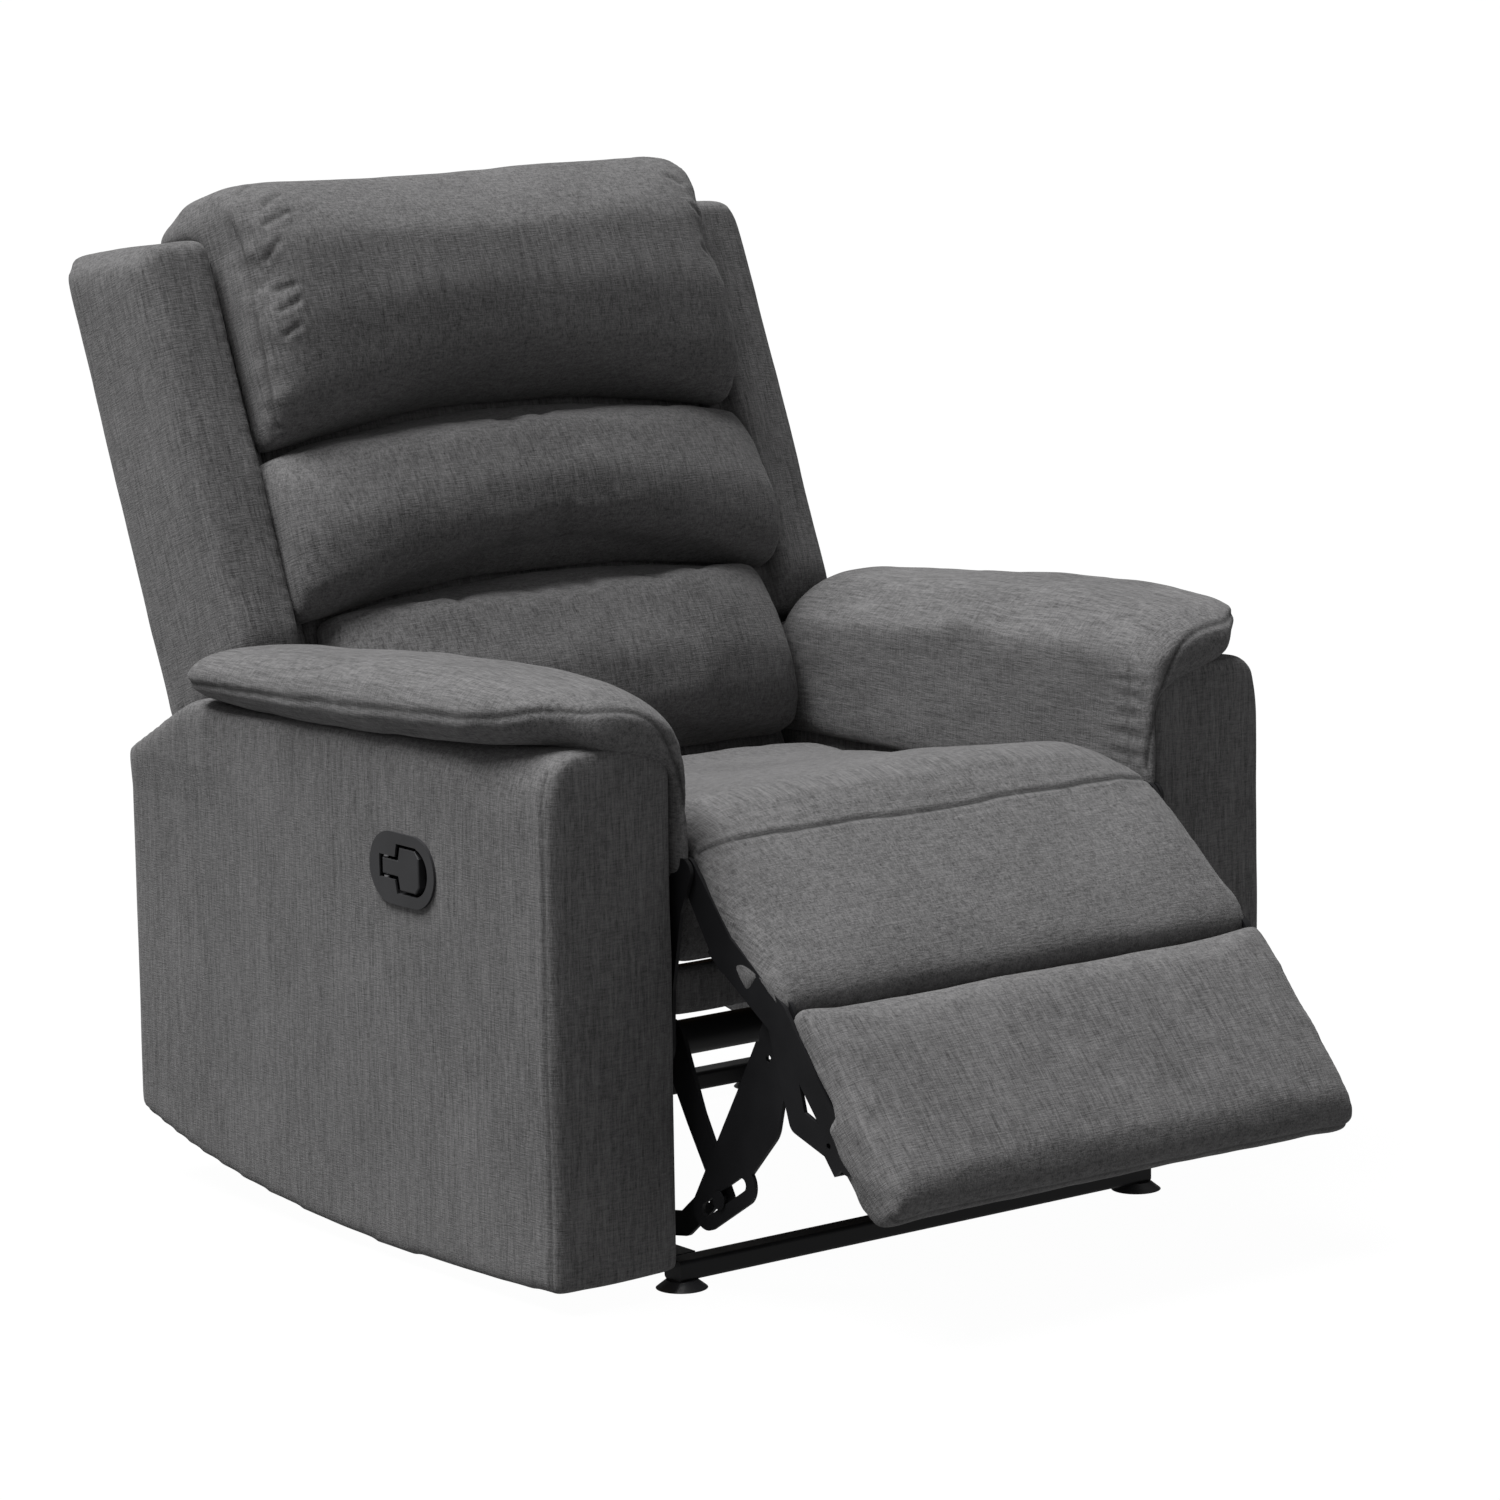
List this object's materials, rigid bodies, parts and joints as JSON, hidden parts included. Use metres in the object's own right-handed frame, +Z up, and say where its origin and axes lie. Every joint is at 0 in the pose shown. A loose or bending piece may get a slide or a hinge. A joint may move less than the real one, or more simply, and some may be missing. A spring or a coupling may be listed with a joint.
{
  "type": "recliner armchair",
  "caption": "Padded recliner armchair with pillow arms, three-roll back, swinging leg rest and a recessed release lever.",
  "frame": {"origin": "middle of the chair's footprint box, on the floor", "axes": "+Z up, the sitter faces -Y, +X to the sitter's left"},
  "size_m": [0.936, 1.242, 0.9954],
  "materials": {
    "charcoal_weave": "matte",
    "black_steel": "satin",
    "spring_wire": "satin",
    "frame_wood": "matte",
    "black_plastic": "satin",
    "webbing": "matte"
  },
  "bodies": {
    "base": {"base_rails": "black_steel", "front_floor_bar": "black_steel", "rear_floor_bar": "black_steel", "floor_glides": "black_plastic", "tilt_brackets": "black_steel", "front_struts": "black_steel"},
    "seat_unit": {"arm_frame_left": "frame_wood", "arm_frame_right": "frame_wood", "arm_front_panel_left": "charcoal_weave", "arm_front_panel_right": "charcoal_weave", "arm_inner_panel_left": "charcoal_weave", "arm_inner_panel_right": "charcoal_weave", "arm_outer_panel_left": "charcoal_weave", "arm_outer_panel_right": "charcoal_weave", "arm_pad_left": "charcoal_weave", "arm_pad_right": "charcoal_weave", "handle_bezel": "black_plastic", "hinge_pins": "black_steel", "latch_pin": "black_steel", "lever_pin": "black_steel", "lever_spring": "spring_wire", "release_cable": "black_plastic", "seat_apron": "charcoal_weave", "seat_cross_rails": "frame_wood", "seat_cushion": "charcoal_weave", "seat_side_rails": "frame_wood", "seat_springs": "spring_wire", "side_plate_bolts": "black_steel", "side_plate_left": "black_steel", "side_plate_right": "black_steel", "spring_clips": "black_steel"},
    "back": {"back_upright_left": "frame_wood", "back_upright_right": "frame_wood", "back_cross_rails": "frame_wood", "back_webbing": "webbing", "back_shell": "charcoal_weave", "back_cover": "charcoal_weave", "back_wing_left": "charcoal_weave", "back_wing_right": "charcoal_weave", "lower_cushion": "charcoal_weave", "middle_cushion": "charcoal_weave", "head_cushion": "charcoal_weave", "back_bracket_left": "black_steel", "back_bracket_right": "black_steel"},
    "leg_rest": {"calf_pad": "charcoal_weave", "foot_pad": "charcoal_weave", "calf_board": "frame_wood", "foot_board": "frame_wood", "leg_bracket_left": "black_steel", "leg_bracket_right": "black_steel", "leg_bracket_bolts": "black_steel"},
    "leg_drive": {"torque_tube": "black_steel", "tube_end_stubs": "black_steel", "crank_left": "black_steel", "crank_right": "black_steel", "crank_pins": "black_steel"},
    "leg_links": {"slotted_link_left": "black_steel", "slotted_link_right": "black_steel"},
    "lever": {"release_lever": "black_plastic"},
    "latch": {"latch_pawl": "black_steel"}
  },
  "joints": [
    {"name": "seat_tilt", "type": "hinge", "parent": "base", "child": "seat_unit", "pos_m": [0, 0.03353, 0.15], "axis": [-1, 0, 0], "range_deg": [0, 6]},
    {"name": "back_recline", "type": "hinge", "parent": "seat_unit", "child": "back", "pos_m": [0, 0.32353, 0.3], "axis": [-1, 0, 0], "range_deg": [0, 34]},
    {"name": "leg_swing", "type": "hinge", "parent": "seat_unit", "child": "leg_rest", "pos_m": [0, -0.32207, 0.4056], "axis": [-1, 0, 0], "range_deg": [-38, 42]},
    {"name": "drive_turn", "type": "hinge", "parent": "seat_unit", "child": "leg_drive", "pos_m": [0, -0.27647, 0.235], "axis": [-1, 0, 0], "range_deg": [-37, 41]},
    {"name": "link_turn", "type": "hinge", "parent": "leg_rest", "child": "leg_links", "pos_m": [0, -0.45547, 0.2875], "axis": [-1, 0, 0], "range_deg": [-30, 27]},
    {"name": "lever_pull", "type": "hinge", "parent": "seat_unit", "child": "lever", "pos_m": [-0.443, -0.05297, 0.392], "axis": [0, 0, -1], "range_deg": [0, 28], "stiffness_Nm_per_rad": 0.4},
    {"name": "latch_turn", "type": "hinge", "parent": "seat_unit", "child": "latch", "pos_m": [-0.2875, -0.20447, 0.235], "axis": [1, 0, 0], "range_deg": [0, 12]}
  ],
  "couplings": [
    {"joint": "seat_tilt", "follows": "back_recline", "ratio": 0.176},
    {"joint": "drive_turn", "follows": "leg_swing", "ratio": 0.967},
    {"joint": "link_turn", "follows": "leg_swing", "ratio": -0.7},
    {"joint": "latch_turn", "follows": "lever_pull", "ratio": 0.4}
  ]
}
